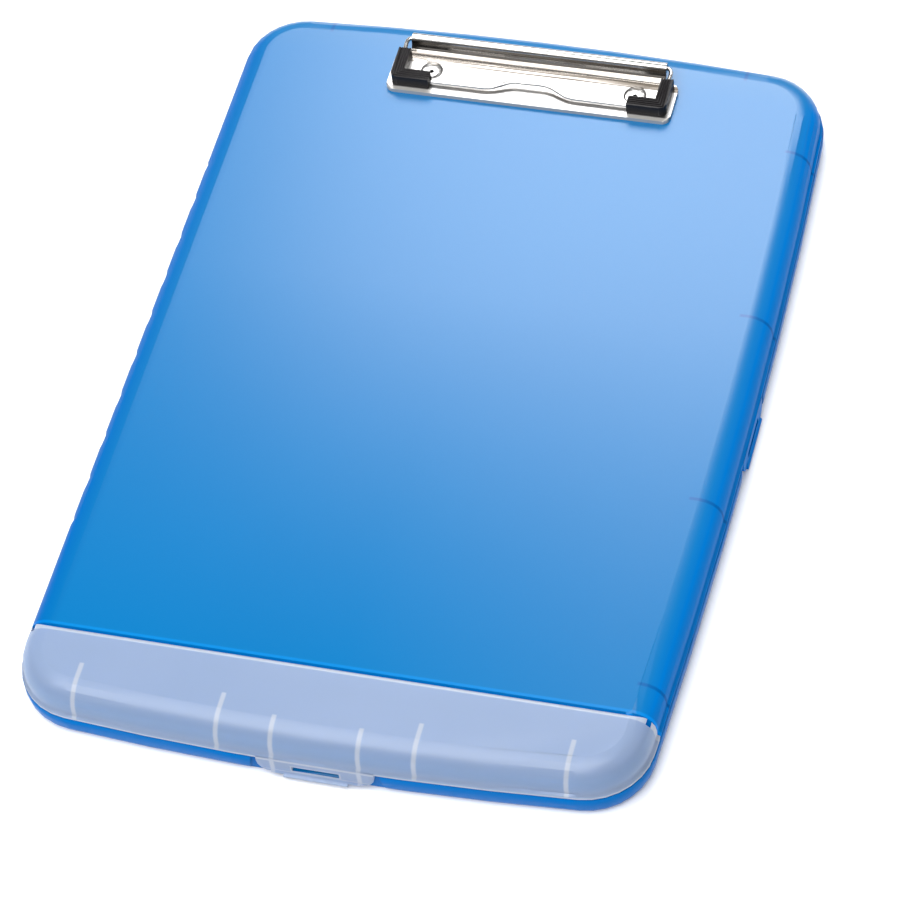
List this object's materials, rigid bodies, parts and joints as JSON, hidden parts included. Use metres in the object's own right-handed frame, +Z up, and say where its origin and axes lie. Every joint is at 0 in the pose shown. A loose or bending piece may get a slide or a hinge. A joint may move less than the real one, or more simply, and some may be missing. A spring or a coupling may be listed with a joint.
{
  "type": "storage clipboard",
  "caption": "Shallow translucent box with a side-hinged writing lid that carries a low wire clip, and a hinged pen cover across its front",
  "frame": {"origin": "middle of the underside, at table level", "axes": "X across the box with the side latch at +X and the lid's hinge at -X, Y along the box towards the clip, Z up"},
  "size_m": [0.254, 0.3682, 0.0317],
  "materials": {
    "blue_plastic": "translucent blue polystyrene, lightly frosted on the lid's top",
    "clear_plastic": "frosted clear polystyrene with a faint blue cast",
    "steel": "plain bright steel",
    "chrome": "bright nickel-chrome plate",
    "grip_rubber": "matt black vinyl"
  },
  "bodies": {
    "case": {"tray_floor": "blue_plastic", "tray_rim": "blue_plastic", "tray_corners": "blue_plastic", "divider": "blue_plastic", "hinge_pin_back": "steel", "hinge_pin_front": "steel"},
    "lid_assembly": {"lid_panel": "blue_plastic", "lid_rim": "blue_plastic", "lid_corners": "blue_plastic", "clip_plate": "chrome", "clip_rivets": "steel", "rivet_washers": "steel"},
    "pen_cover": {"cover_panel": "clear_plastic", "cover_rim": "clear_plastic", "cover_corners": "clear_plastic", "cover_hooks": "clear_plastic"},
    "bail": {"clip_bail": "chrome", "grip_left": "grip_rubber", "grip_right": "grip_rubber"}
  },
  "joints": [
    {"name": "lid_hinge", "type": "hinge", "parent": "case", "child": "lid_assembly", "pos_m": [-0.1257, 0, 0.00965], "axis": [0, -1, 0], "range_deg": [0, 155]},
    {"name": "pen_cover_hinge", "type": "hinge", "parent": "case", "child": "pen_cover", "pos_m": [0, -0.1484, 0.0213], "axis": [-1, 0, 0], "range_deg": [0, 90]},
    {"name": "bail_hinge", "type": "hinge", "parent": "lid_assembly", "child": "bail", "pos_m": [0.0015, 0.16635, 0.02955], "axis": [-1, 0, 0], "range_deg": [0, 95]}
  ]
}
